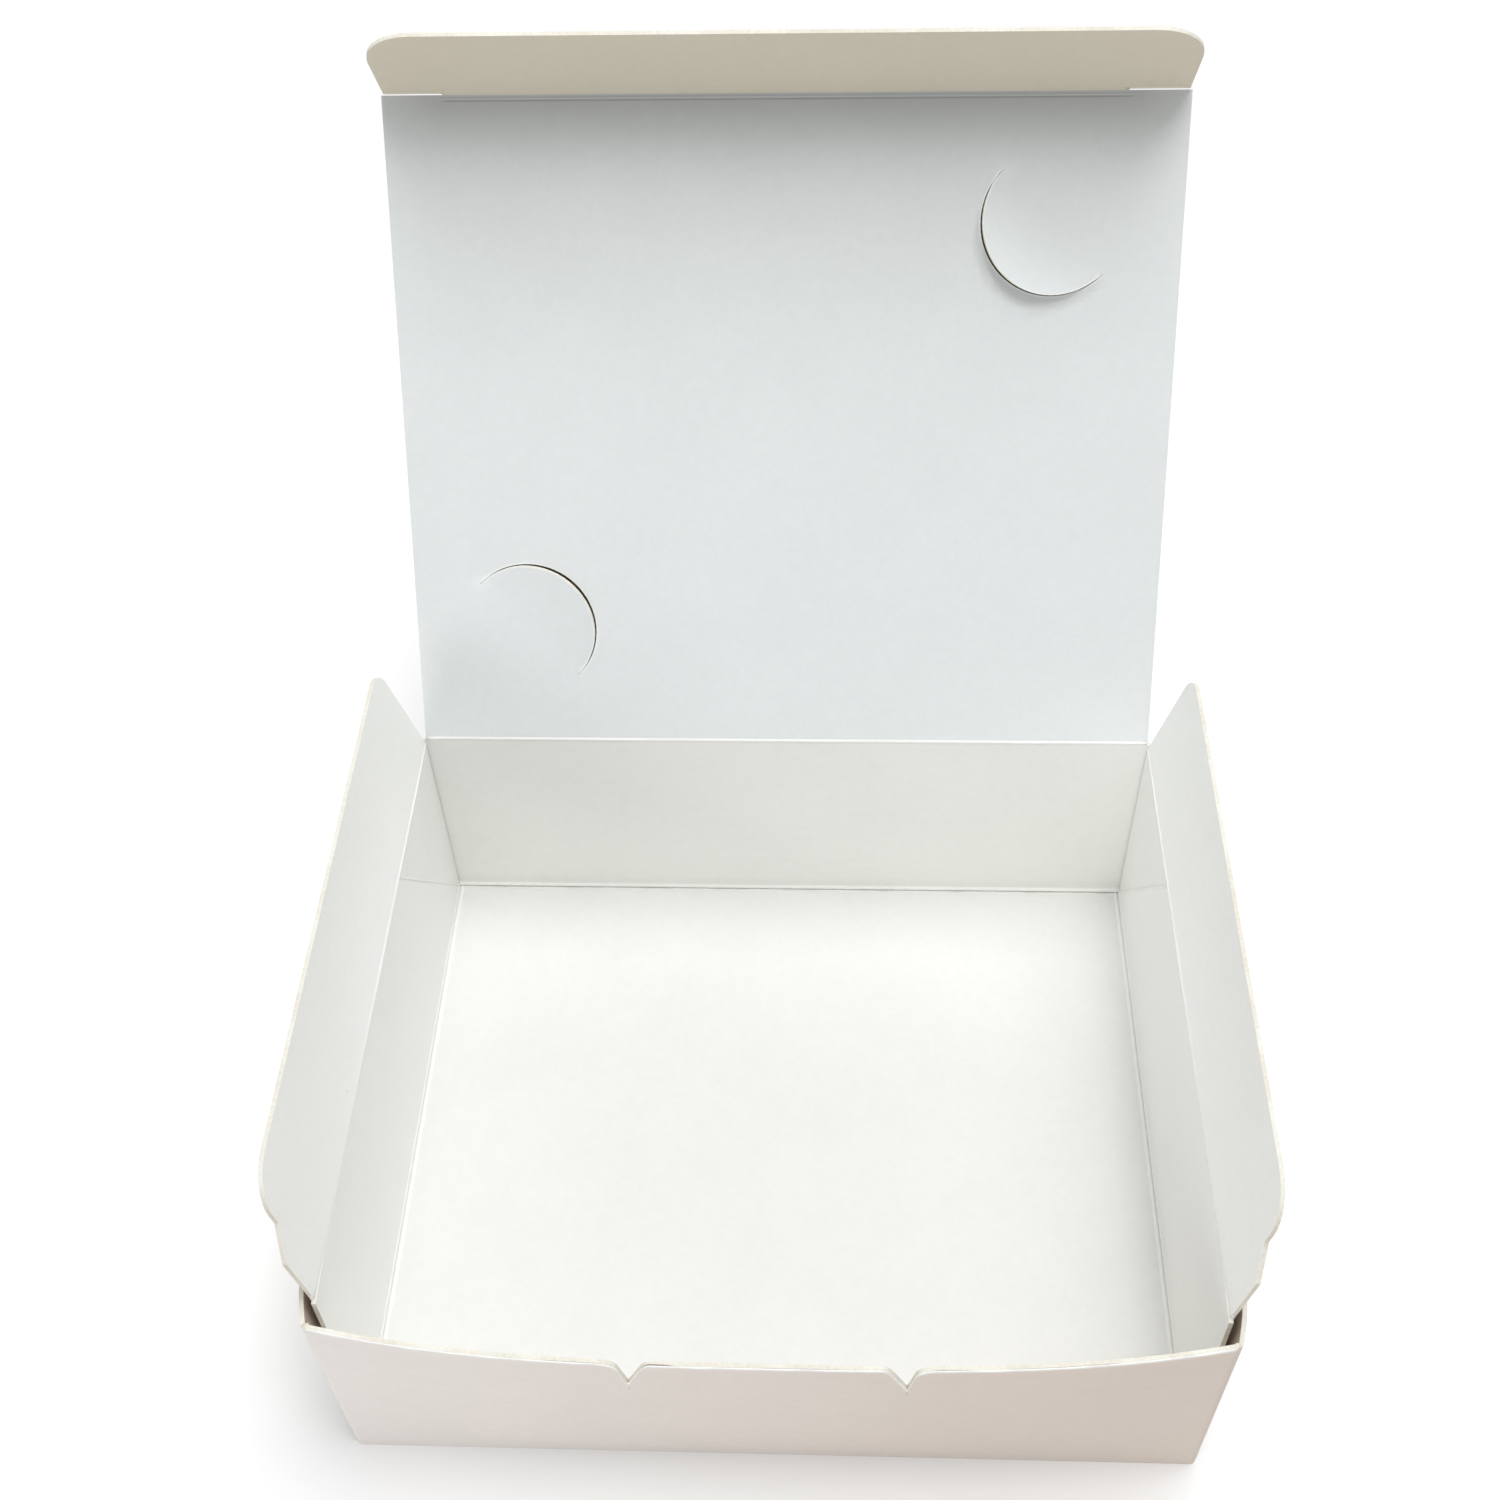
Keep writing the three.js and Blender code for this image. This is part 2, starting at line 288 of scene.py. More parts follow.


# White board: cloudy, with fine fibre relief and a few dark specks of recycled pulp. The colour given for
# the right end is painted shade, and toneSide keeps the points' tones, mostly painted shade and
# highlights, to the faces that look that way.
def cardMaterial(name, colour, shadeFactor=None, extraRelief=None, rightShadeColour=None,
                 tabShadeColours=(), toneSide=None):
    g = Graph(name)
    place = g.add("ShaderNodeTexCoord").outputs["Object"]
    cloud = g.noise(place, cardLook["cloudScale"], 3.0, 0.55)
    clump = g.noise(place, cardLook["clumpScale"], 4.0, 0.65)
    fibre = g.noise(place, cardLook["fibreScale"], 3.0, 0.7)
    tone = g.ramp(cloud, *cardLook["noiseSpan"], *cardLook["cloudTone"])
    grain = g.ramp(clump, *cardLook["noiseSpan"], *cardLook["clumpTone"])
    strand = g.ramp(fibre, *cardLook["noiseSpan"], *cardLook["fibreTone"])
    value = g.math("MULTIPLY", g.math("MULTIPLY", tone, grain), strand)
    crease = g.add("ShaderNodeAttribute", attribute_name="paintedShadeAndTone").outputs["Fac"]
    if toneSide:
        crease = g.math("MULTIPLY", crease, facing(g, toneSide))
    value = g.math("MULTIPLY", value, g.math("ADD", crease, 1.0))
    if shadeFactor:
        value = g.math("MULTIPLY", value, shadeFactor(g, place))
    cells = g.add("ShaderNodeTexVoronoi", {"Vector": place, "Scale": cardLook["speckSpacing"]})
    radius = cardLook["speckRadius"]
    near = g.ramp(cells.outputs["Distance"], radius * cardLook["speckCore"], radius, 1.0, 0.0)
    parts = g.add("ShaderNodeSeparateColor", {"Color": cells.outputs["Color"]})
    chosen = g.math("GREATER_THAN", parts.outputs["Red"], cardLook["speckPick"])
    speck = g.math("MULTIPLY", near, chosen)
    darker = g.math("MULTIPLY_ADD", speck, cardLook["speckTone"], 1.0)
    value = g.math("MULTIPLY", value, darker)
    base = (*colour, 1.0)
    # Painted shade: darker and warmer towards the right end
    if rightShadeColour:
        reach = cardLook["shadeReach"] * mm
        base = g.mix(g.ramp(g.axis(place, "X"), -reach, reach), base, (*rightShadeColour, 1.0))
    # Painted shade turns the tabs' inner faces dark brown; their outer faces turn plain white
    for operation, limit, tabShadeColour in tabShadeColours:
        base = g.mix(tabFacing(g, place, operation, limit), base, (*tabShadeColour, 1.0))
    tint = g.add("ShaderNodeHueSaturation", {"Color": base, "Value": value})
    relief = g.math("MULTIPLY", fibre, 1 - cardLook["clumpRelief"])
    relief = g.math("MULTIPLY_ADD", clump, cardLook["clumpRelief"], relief)
    normal = g.bump(relief, cardLook["reliefStrength"], cardLook["reliefHeight"])
    if extraRelief:
        normal = g.bump(extraRelief(g, place), 1.0, cardLook["creaseHeight"], normal)
    return g.dress(tint.outputs["Color"], normal, cardLook)


edgeLook = {
    "layerScale": 1500.0,  # torn layers of pulp, under a millimetre
    "broadScale": 130.0,  # slow changes along the cut
    "broadShare": 0.45,
    "noiseSpan": (0.32, 0.68),
    "reliefStrength": 0.5,
    "reliefHeight": 0.1,
    "roughness": 0.9,
    "specular": 0.15,
}


# The cut edge between the two white skins: one colour, and a deeper one where it is torn
def edgeMaterial(name, colour, deeper):
    g = Graph(name)
    place = g.add("ShaderNodeTexCoord").outputs["Object"]
    layers = g.noise(place, edgeLook["layerScale"], 4.0, 0.7)
    broad = g.noise(place, edgeLook["broadScale"], 2.0, 0.5)
    fine = g.math("MULTIPLY", layers, 1 - edgeLook["broadShare"])
    amount = g.math("MULTIPLY_ADD", broad, edgeLook["broadShare"], fine)
    amount = g.ramp(amount, *edgeLook["noiseSpan"])
    normal = g.bump(layers, edgeLook["reliefStrength"], edgeLook["reliefHeight"])
    return g.dress(g.mix(amount, (*deeper, 1.0), (*colour, 1.0)), normal, edgeLook)


# How far a place on a side wall lies in front of the diagonal crease at its back end
def aheadOfDiagonal(g, place):
    z = g.axis(place, "Z")
    fromBack = g.math("SUBTRACT", (tray["depth"] / 2 - thick) * mm, g.axis(place, "Y"))
    rise = g.math("SUBTRACT", z, thick * mm)
    ahead = g.math("SUBTRACT", fromBack, g.math("MULTIPLY", rise, tray["diagonalSlope"]))
    return ahead, g.math("GREATER_THAN", z, tray["diagonalFoot"] * mm)


# Painted shade makes the triangle behind the diagonal crease, which is two boards thick, a shade darker;
# a painted highlight makes the crease itself a white line
def diagonalShadeAndHighlight(g, place):
    ahead, onWall = aheadOfDiagonal(g, place)
    blend = tray["triangleShadeBlend"] * mm
    inside = g.ramp(ahead, -blend, blend, tray["triangleShade"], 1.0)
    line = g.stripe(ahead, 0.0, tray["diagonalWidth"] * mm, tray["diagonalHighlight"])
    shade = g.math("ADD", inside, line)
    # On the floor the factor is one
    return g.math("MULTIPLY_ADD", onWall, g.math("SUBTRACT", shade, 1.0), 1.0)


# One on the faces of the glued corner tabs that look outward, or inward, by more than a limit
def tabFacing(g, place, operation, limit):
    normal = g.add("ShaderNodeTexCoord").outputs["Normal"]
    x = g.axis(place, "X")
    turned = g.math(operation, g.math("MULTIPLY", g.axis(normal, "X"), g.math("SIGN", x)), limit)
    inset = tray["width"] / 2 - tray["tabZone"]
    onTab = g.math("GREATER_THAN", g.math("ABSOLUTE", x), inset * mm)
    return g.math("MULTIPLY", turned, onTab)


# The knife ran on a little below each notch and left a short grey nick
def notchNick(g, place):
    aside = g.math("SUBTRACT", g.math("ABSOLUTE", g.axis(place, "X")), notch["offset"] * mm)
    middle = tray["frontTop"] - notch["depth"] - notch["nickBelow"]
    below = g.math("SUBTRACT", middle * mm, g.axis(place, "Z"))
    line, ends = [g.stripe(distance, core * mm, edge * mm) for distance, (core, edge)
                  in ((aside, notch["nickHalfWidth"]), (below, notch["nickHalfLength"]))]
    return g.math("MULTIPLY_ADD", g.math("MULTIPLY", line, ends), notch["nickTone"], 1.0)


# The diagonal crease stands up as a narrow ridge
def diagonalRelief(g, place):
    ahead, onWall = aheadOfDiagonal(g, place)
    return g.math("MULTIPLY", g.stripe(ahead, 0.0, tray["diagonalWidth"] * mm), onWall)


# Tray: one cradle of floor and side walls, and a front and a back band with the glued tabs
tray = {
    "width": 160.0,
    "depth": 135.0,
    "foldRadius": 0.9,
    "frontTop": 52.7,
    "backTop": 52.9,
    "sideTop": 51.8,
    "frontBow": 5.5,
    "frontBowPower": 3.0,  # flat in the middle, turning in near the corners
    "endRelief": 3.8,  # high up, the side walls stop this short of the front wall
    "endReliefDepth": 34.0,  # below the rim
    "reliefBlend": 3.0,
    "endCurl": 0.3,
    "curlReach": 13.0,
    "ridgeHeight": (0.8, 0.3),  # of the fold ridges: the mean, and how much it varies
    "ridgeWaves": (0.9, 0.23, 0.31),
    "tabReach": 34.0,
    "tabDiagonalOffset": 3.0,
    "tabTop": 51.3,
    "tabBulge": 2.0,
    "tabBulgeReach": 22.0,
    "tabTurn": 0.3,  # turn of the corner, in radians, at which the tab's lower cut starts
    "tabZone": 1.2,  # from the tray's side inward, for the colours of the tabs
    "cornerRadius": 0.9,
    "cornerGap": 0.3,  # between a side wall's back end and the back wall
    "cornerGapTop": 2.4,
    "footRidge": 0.32,  # stout ridge at the back wall's foot, and its place above the floor
    "footBell": (0.45, 0.36),
    "diagonalSlope": 0.725,  # how far the diagonal crease runs forward for each step up
    "diagonalWidth": 0.55,
    "diagonalFoot": 1.6,
    # Painted highlight along the diagonal crease, and painted shade over the triangle behind it
    "diagonalHighlight": 0.05,
    "triangleShade": 0.975,
    "triangleShadeBlend": 0.4,
    # Painted shade over the floor, lighter towards the back wall
    "floorShading": -0.225,
    "floorShadingBack": -0.13,
    "floorShadingFrom": 10.0,  # the floor's shade changes from here to the back wall
    "endFoldShare": 0.6,
    "backLineShade": -0.3,  # painted shade: a dark line at the foot of the back wall
    "backLineBell": (0.3, 0.2),
    "backFootHighlight": 0.06,  # painted highlight up to this height over the floor, with painted shade above
    "backFootTop": (1.4, 0.9),
    "backFootShade": -0.05,
    "backFootShadeBell": (1.75, 0.35),
    "topEdgeTone": 0.06,  # along the front wall's top edge
    "topEdgeReach": 0.5,
    # Step, fine step and how far the fine steps reach on each side of a fold
    "acrossGrid": (1.2, 0.12, 2.6),
    "deepGrid": (0.018, 0.0009, 0.019),
    "bandGrid": (2.0, 0.2, 7.0),
    "upGrid": (0.05, 0.004, 0.04),
}
notch = {
    "offset": 24.0,
    "depth": 10.5,
    "outer": (1.0, 5.4),  # from the tip to where a flank's straight part and its curve end
    "inner": (2.8, 4.6),
    "shoulder": 2.2,
    "nickBelow": 2.4,
    "nickHalfWidth": (0.08, 0.3),
    "nickHalfLength": (0.5, 1.1),
    "nickTone": -0.12,
}

whiteCard = cardMaterial("trayCard", (0.965, 0.965, 0.94), diagonalShadeAndHighlight, diagonalRelief)
backCard = cardMaterial("backWallCard", (0.955, 0.96, 0.925))
# The front band's card has a warm tint, painted reflection of warm light from below, and turns darker and
# warmer to the right, painted shade. Painted shade also turns the front tabs dark brown inside, down in
# the gap beside each side wall; outside they are as white as the side walls that they are glued to
tabShadeColours = [("LESS_THAN", -0.5, (0.5, 0.4, 0.33)), ("GREATER_THAN", 0.7, (0.95, 0.945, 0.92))]
outerCard = cardMaterial("frontBandCard", (0.955, 0.93, 0.915), notchNick,
                         rightShadeColour=(0.83, 0.755, 0.695), tabShadeColours=tabShadeColours)
flapCard = cardMaterial("flapCard", (0.965, 0.97, 0.945))
# The lid's card is a darker, cooler copy of the board: painted shade on the lid
shadedLidCard = cardMaterial("shadedLidCard", (0.80, 0.835, 0.838), toneSide=(0.0, -0.875, 0.485))
# A whiter copy of the board for the crease strips and the front edge's lip: painted highlight
litCreaseCard = cardMaterial("litCreaseCard", (0.97, 0.975, 0.965))
# A darker, beige copy of the board for the tuck flap: painted shade and painted warm reflection
shadedTuckCard = cardMaterial("shadedTuckCard", (0.70, 0.66, 0.56))
# A near-black card for the crescents under the half-round cuts: painted shadow
slitShadowCard = edgeMaterial("slitShadowCard", (0.13, 0.09, 0.06), (0.07, 0.045, 0.03))
cutEdge = edgeMaterial("cutEdge", (0.86, 0.84, 0.765), (0.72, 0.68, 0.58))
# A dark card for the strip in the front edge's hairline gap: painted shadow
gapShade = edgeMaterial("gapShade", (0.42, 0.37, 0.33), (0.24, 0.2, 0.18))
print("materials made")

wallX = tray["width"] / 2 - 1.5 * thick
innerX = wallX - half
frontY = -tray["depth"] / 2 + half
backY = tray["depth"] / 2 - half


# Floor and side walls: an upright-round-flat-round-upright profile across X, carried along Y.
# Near the front the walls start later high up and curl inward; near every fold a ridge rises.
def cradle():
    radius = tray["foldRadius"]
    wallRun = tray["sideTop"] - half - radius
    arcRun = radius * math.pi / 2
    floorRun = 2 * (wallX - radius)
    total = 2 * wallRun + 2 * arcRun + floorRun
    folds = [wallRun, wallRun + arcRun, total - wallRun - arcRun, total - wallRun]
    along = gatheredLine(0, total, folds, *tray["acrossGrid"])
    ends = [frontY + half, backY - half]
    deep = gatheredLine(0, 1, [0, 1], *tray["deepGrid"])
    s, v = np.meshgrid(along, deep, indexing="ij")

    fromLeft = np.minimum(s, total - s)  # mirrored: both walls share one formula
    side = np.where(s < total / 2, -1.0, 1.0)
    turn = np.clip((fromLeft - wallRun) / radius, 0, math.pi / 2)
    onWall = fromLeft < wallRun
    flat = np.maximum(0, fromLeft - wallRun - arcRun)
    out = wallX - radius * (1 - np.cos(turn)) - flat
    out = np.where(onWall, wallX, out)
    z = half + radius - radius * np.sin(turn)
    z = np.where(onWall, tray["sideTop"] - fromLeft, z)

    reliefFoot = tray["sideTop"] - tray["endReliefDepth"]
    relief = smoothStep(reliefFoot - tray["reliefBlend"], reliefFoot, z)
    startY = ends[0] + tray["endRelief"] * relief
    endY = ends[1] - tray["cornerGap"] * smoothStep(thick, tray["cornerGapTop"], z)
    y = startY + (endY - startY) * v

    near = np.maximum(0, ends[0] + tray["endRelief"] + tray["curlReach"] - y) / tray["curlReach"]
    curl = tray["endCurl"] * near ** 2 * (z / tray["sideTop"])
    # Ridges stand inward: up from the floor, and in from the walls
    floorRidge = bead(innerX - out) + bead(ends[1] - y) + bead(y - ends[0])
    mean, change = tray["ridgeHeight"]
    quick, slow, across = tray["ridgeWaves"]
    wobble = mean + change * np.sin(y * quick) * np.sin(y * slow + 1.0) * np.cos(out * across)
    isFloor = turn >= math.pi / 2 - 1e-6
    out = out - np.where(onWall, curl + bead(z - thick) * wobble, 0)
    z = z + np.where(isFloor, floorRidge * wobble, 0)
    points = pointsOf(side * out, y, z)
    return weld([(points, gridFaces(len(along), len(deep)))])


# Painted highlights and shade of the folds round the floor: both sides of the side folds, the floor's
# side of the others; the floor also gets a painted shade that lightens towards the back wall
def cradleTone(points):
    x, y, z = np.abs(points[:, 0]), points[:, 1], points[:, 2]
    isFloor = z < thick + 0.3
    ends = foldTone(y - frontY - half) * tray["endFoldShare"]
    floorShading = foldTone(innerX - x) + ends
    # Close to the back wall the floor's crease gets painted shade, a dark line that wanders a little
    wander = 0.12 * np.sin(points[:, 0] * 0.35) + 0.07 * np.sin(points[:, 0] * 1.1 + 1.0)
    backLine = bell(backY - half - y - wander, *tray["backLineBell"])
    toBack = smoothStep(tray["floorShadingFrom"], backY, y)
    shade = tray["floorShading"] + (tray["floorShadingBack"] - tray["floorShading"]) * toBack
    floorShading = floorShading + shade + tray["backLineShade"] * backLine
    return np.where(isFloor, floorShading, foldTone(z - thick))


# The back wall has a stout ridge right at its foot with a painted highlight, and a faint painted shade
# above it
def backTone(points):
    rise = points[:, 2] - thick
    foot = tray["backFootHighlight"] * smoothStep(*tray["backFootTop"], rise)
    return foot + tray["backFootShade"] * bell(rise, *tray["backFootShadeBell"])


# The front wall's outer face is lighter along its cut top edge
def frontTone(points):
    top = tray["frontTop"] - notchCut(points[:, 0])
    return tray["topEdgeTone"] * bell(top, points[:, 2], tray["topEdgeReach"])


# How far the notches cut down from the front wall's top edge, at a place across it
def notchCut(x):
    reach = np.abs(x) - notch["offset"]
    depth, shoulder = notch["depth"], notch["shoulder"]
    outerFoot, outerMouth = notch["outer"]
    innerFoot, innerMouth = notch["inner"]
    outerLine = depth - (depth - 2 * shoulder) * reach / outerFoot
    t = np.clip((reach - outerFoot) / (outerMouth - outerFoot), 0, 1)
    outerCurve = 2 * shoulder * (1 - np.sqrt(t)) ** 2
    innerLine = depth + (depth - shoulder) * reach / innerFoot
    q = np.clip((-reach - innerFoot) / (innerMouth - innerFoot), 0, 1)
    innerCurve = shoulder * (1 - q) ** 2
    outer = np.where(reach < outerFoot, outerLine, outerCurve)
    inner = np.where(-reach < innerFoot, innerLine, innerCurve)
    cut = np.where(reach >= 0, outer, inner)
    return np.where((reach > outerMouth) | (-reach > innerMouth), 0, cut)


# How far the front wall stands out of its flat plane
def bowAt(x, z):
    across = np.abs(2 * x / tray["width"])
    return tray["frontBow"] * (z / tray["frontTop"]) * (1 - across ** tray["frontBowPower"])


# A wall with a tab round each of its two upright corners, as one path seen from above with a
# height at every place on it. end is -1 for the front band and +1 for the back one.
def wallBand(end):
    radius = tray["cornerRadius"]
    tabX = tray["width"] / 2 - half
    wallRun = 2 * (tabX - radius)
    arcRun = radius * math.pi / 2
    tabRun = tray["tabReach"] - radius
    total = wallRun + 2 * (arcRun + tabRun)
    middle = total / 2
    corners = [tabRun, tabRun + arcRun, total - tabRun - arcRun, total - tabRun]
    places = corners + [middle - notch["offset"], middle + notch["offset"]]
    along = gatheredLine(0, total, places, *tray["bandGrid"])
    up = gatheredLine(0, 1, [0], *tray["upGrid"])
    s, v = np.meshgrid(along, up, indexing="ij")

    fromTip = np.minimum(s, total - s)
    side = np.where(s < middle, -1.0, 1.0)
    turn = np.clip((fromTip - tabRun) / radius, 0, math.pi / 2)
    wallPart = np.maximum(0, fromTip - tabRun - arcRun)
    x = tabX - radius * (1 - np.cos(turn)) - wallPart
    inward = radius * (1 - np.sin(turn)) + np.maximum(0, tabRun - fromTip)
    onWall = fromTip >= tabRun + arcRun - 1e-6

    top = tray["frontTop"] if end < 0 else tray["backTop"]
    turned = smoothStep(0, math.pi / 2, turn)
    high = tray["tabTop"] + (top - tray["tabTop"]) * turned
    if end < 0:
        high = high - np.where(onWall, notchCut(x), 0)
    # The tab's lower edge is cut on a slant that starts a little above the base at the corner
    low = np.minimum(inward + tray["tabDiagonalOffset"], high)
    low = np.where(turn > tray["tabTurn"], 0.0, low) * (1 - smoothStep(0.0, tray["tabTurn"], turn))
    z = low + (high - low) * v

    if end < 0:
        bow = np.where(onWall, bowAt(x, z), 0)
        share = inward / tray["tabBulgeReach"]
        bulge = tray["tabBulge"] * np.where(share < 1, np.sin(math.pi * share), 0) * (z / tray["tabTop"])
        ridge = 0
    else:
        bow = bulge = 0
        foot = bell(z - thick, *tray["footBell"])
        ridge = np.where(onWall & (x < innerX), tray["footRidge"] * foot, 0)
    y = end * (tray["depth"] / 2 - half - inward - ridge + bow)
    points = pointsOf(side * (x + np.where(onWall, 0, bulge)), y, z)
    faces = gridFaces(len(along), len(up))
    return weld([(points, faces if end < 0 else faces[:, ::-1])])


# Along the front wall's cut edge the outer skin is pressed over as a rounded lip in whiter card, a
# painted highlight, and behind it runs a dark strip, painted shadow in a hairline gap that gapes in a few
# places
rim = {
    "lip": np.array([(0.0, -1.3), (0.13, -0.9), (0.23, -0.5), (0.26, -0.22), (0.2, -0.02),
                     (0.08, 0.05), (-0.04, 0.03), (-0.1, -0.1), (-0.1, -1.2)]),
    "lipWidth": (0.85, 0.2),  # the mean, and how much it varies
    "gap": np.array([(-0.04, -0.1), (-0.04, 0.02), (-0.12, 0.02), (-0.12, -0.1)]),
    "gapWidth": (0.25, 0.1),
    # Where the gap gapes: the place across, how far to each side, and by how much
    "gapPlaces": [(-18.3, 2.6, 2.6), (6.0, 9.0, 0.6), (31.0, 3.0, 1.1), (-33.0, 5.0, 0.7),
                  (52.0, 8.0, 0.6)],
    "shortOfCorner": 1.2,
    "grid": (0.8, 0.12, 7.0),
}


# Carries a section along the front wall's top edge and through the notches. Its two numbers are
# how far out from the wall's face and above the edge; widen stretches the first along the wall.
def rimStrip(name, section, widen, material):
    end = tray["width"] / 2 - rim["shortOfCorner"]
    x = gatheredLine(-end, end, [-notch["offset"], notch["offset"]], *rim["grid"])
    top = tray["frontTop"] - notchCut(x)
    z = top[:, None] + section[None, :, 1]
    out = section[0, 0] + (section[None, :, 0] - section[0, 0]) * widen(x)[:, None]
    y = -(tray["depth"] / 2 + bowAt(x[:, None], z) + out)
    rings = np.stack([np.broadcast_to(x[:, None], z.shape), y, z], -1)
    piece = meshObject(name, *closedStrip(rings), [material])
    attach(piece, "tray")


# The lip's width wavers a little, and the gap is a hairline apart from a few places
def lipWidth(x):
    mean, change = rim["lipWidth"]
    return mean + change * np.sin(x * 0.7) * np.sin(x * 0.19 + 0.5)


def gapWidth(x):
    mean, change = rim["gapWidth"]
    wide = mean + change * np.sin(x * 0.9)
    for place, reach, most in rim["gapPlaces"]:
        wide = wide + most * bell(x, place, reach, 4)
    return wide


def buildRim():
    rimStrip("front_edge_lip", rim["lip"], lipWidth, litCreaseCard)
    # The dark strip behind the lip is painted shadow
    rimStrip("front_edge_gap_shadow", rim["gap"], gapWidth, gapShade)


def buildTray():
    points, faces = cradle()
    floor = meshObject("tray_floor_and_sides", points, faces, [whiteCard, cutEdge])
    thicken(addTone(floor, cradleTone(points)))
    points, faces = wallBand(-1)
    front = meshObject("tray_front_band", points, faces, [outerCard, cutEdge])
    thicken(addTone(front, frontTone(points)))
    points, faces = wallBand(1)
    back = meshObject("tray_back_band", points, faces, [backCard, cutEdge])
    thicken(addTone(back, backTone(points)))
    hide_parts("tray")
    for piece in (floor, front, back):
        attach(piece, "tray")


flap = {
    "width": 29.5,
    "splay": 9.0,
    "back": 66.3,
    "backSlant": 5.5,
    "tipRadius": 5.0,
    "front": -62.1,
    "stepInset": 4.5,
    "stepWidth": 12.8,
    "stepTop": 19.0,
    "frontRadius": 8.0,
    "curve": 0.5,
    "grid": (1.5, 0.15, 2.4),
    "stations": 60,
}


# How far a round corner takes an edge back at a distance from the fold: a quarter circle that ends
# level with the free edge
def roundedOff(w, reach, radius):
    turn = np.clip((w - (reach - radius)) / radius, 0, 1)
    return radius * (1 - np.sqrt(1 - turn ** 2))


# A flap's two ends are places along the fold, which change with the distance from it. The panel
# leans outward about the fold and bends a little along its width.
def flapSurface(side):
    width = flap["width"]
    places = [flap["stepWidth"], flap["stepTop"], width]
    away = gatheredLine(board["foldGap"], width, places, *flap["grid"])
    share = np.linspace(0, 1, flap["stations"])
    w, u = np.meshgrid(away, share, indexing="ij")
    back = flap["back"] - flap["backSlant"] * w / width - roundedOff(w, width, flap["tipRadius"])
    step = np.clip((w - flap["stepWidth"]) / (flap["stepTop"] - flap["stepWidth"]), 0, 1)
    front = flap["front"] + flap["stepInset"] * step + roundedOff(w, width, flap["frontRadius"])
    y = front + (back - front) * u
    lean = math.radians(flap["splay"])
    swell = flap["curve"] * np.sin(math.pi * w / width) * np.sin(math.pi * u)
    out = flapPivot[0] + w * math.sin(lean) + swell * math.cos(lean)
    z = flapPivot[2] + w * math.cos(lean) - swell * math.sin(lean)
    points = pointsOf(side * out, y, z)
    faces = gridFaces(len(away), len(share))
    return weld([(points, faces if side > 0 else faces[:, ::-1])])


def buildFlaps():
    for side, name in ((-1, "left_dust_flap"), (1, "right_dust_flap")):
        piece = thicken(meshObject(name + "_board", *flapSurface(side), [flapCard, cutEdge]))
        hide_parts(name)
        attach(piece, name)


# Lid and tuck flap, worked out flat: x across, y away from the lid's fold, z to the inside
lid = {
    "halfWidth": 78.25,
    "moonRadius": 14.2,
    "upperAcross": 53.0,
    "lowerAcross": 54.2,
    "moonAlong": 41.7,
    "moonKerf": 0.2,
    "tongueShrink": 0.22,  # the bent tongue draws back from the middle of its arc
    "upperLift": 2.5,
    "lowerLift": 1.5,
    "bendPower": 1.5,
    "slitShadowReach": 0.8,  # a dark crescent under each cut, painted shadow for the dark slit
    "slitShadowOverlap": 0.15,
    "slitShadowDepth": -0.28,
    "slitShadowThickness": 0.2,
    "slitShadowEnds": 0.05,  # radians left free at each end of the arc
    "slitShadowGrid": (49, 4),
    "moonBlock": 17.0,
    "blockCells": 17,
    "ringShares": [0, 0.18, 0.36, 0.54, 0.7, 0.84, 0.93, 0.975, 1],
    "tongueSteps": 14,
    "tongueFine": [0.955, 0.98, 1],  # shares of the tongue's reach next to its cut edge
    "sideLines": 5,
    "middleLines": (41, 27),  # across and along, between the two blocks
    "foldGrid": (1.5, 0.1, 1.9),
    "arcHighlight": 0.2,  # painted highlight along both sides of each arc where the cut edges catch the light; the cut also lifts the skin a little white there
    "arcHighlightHalf": 0.36,
    "scuffTone": 0.05,
    "scuffReach": 1.8,
    "moonShadow": (-1.4, -2.9),
    "moonShadowTone": -0.13,
    # painted light on the upper tongue towards its arc
    "tongueHighlight": 0.09,
    "nearShade": -0.3,  # below the tuck flap's fold
    "nearReach": 7.0,
    "farShade": -0.13,
    "farReach": 38.0,
    "sideFade": 0.45,  # share by which that shade is less at the lid's sides
    # Painted light and dark lines beside the tuck flap's fold, for its crease ridges: the distance from
    # it, half the width and the tone
    "creaseLines": [(0.75, 0.16, 0.08), (1.05, 0.12, -0.08), (1.32, 0.15, 0.1), (1.68, 0.14, -0.2)],
}
tuck = {
    "reach": 22.0,
    "fold": 63.5,
    "foldGap": 0.55,
    "cornerRadius": 10.0,
    "sideInset": 0.4,
    "slit": 12.0,  # from each side, where a cut takes the fold's place
    "grid": (1.2, 0.12, 1.8),
    "stations": 81,
}
# Both cuts' straight sides run along one diagonal of the lid, and their arcs bulge across it
alongCut = np.array([-1.0, 1.0]) / math.sqrt(2)
acrossCut = np.array([-1.0, -1.0]) / math.sqrt(2)
lidAlong = tuckPivot - lidPivot
lidLength = float(np.linalg.norm(lidAlong))
lidLean = math.atan2(lidAlong[2], lidAlong[1])
tuckLean = lidLean + math.radians(tuck["fold"])


# From a panel's own plane to the carton's frame
def onLid(points):
    return points @ np.array(Matrix.Rotation(lidLean, 3, "X")).T + lidPivot


def onTuck(points):
    return points @ np.array(Matrix.Rotation(tuckLean, 3, "X")).T + tuckPivot


# The points round a square of grid cells, starting at its corner (-1, +1) and passing (-1, -1)
def squareRound(centre, reach, cells):
    t = np.linspace(-reach, reach, cells + 1)
    down = np.stack([np.full(cells, -reach), -t[:-1]], 1)
    across = np.stack([t[:-1], np.full(cells, -reach)], 1)
    upward = np.stack([np.full(cells, reach), t[:-1]], 1)
    home = np.stack([-t[:-1], np.full(cells, reach)], 1)
    return np.concatenate([down, across, upward, home]) + centre


def moonCentre(corner):
    across = lid["upperAcross"] if corner > 0 else lid["lowerAcross"]
    return np.array([corner * across, lidLength / 2 + corner * lid["moonAlong"]])


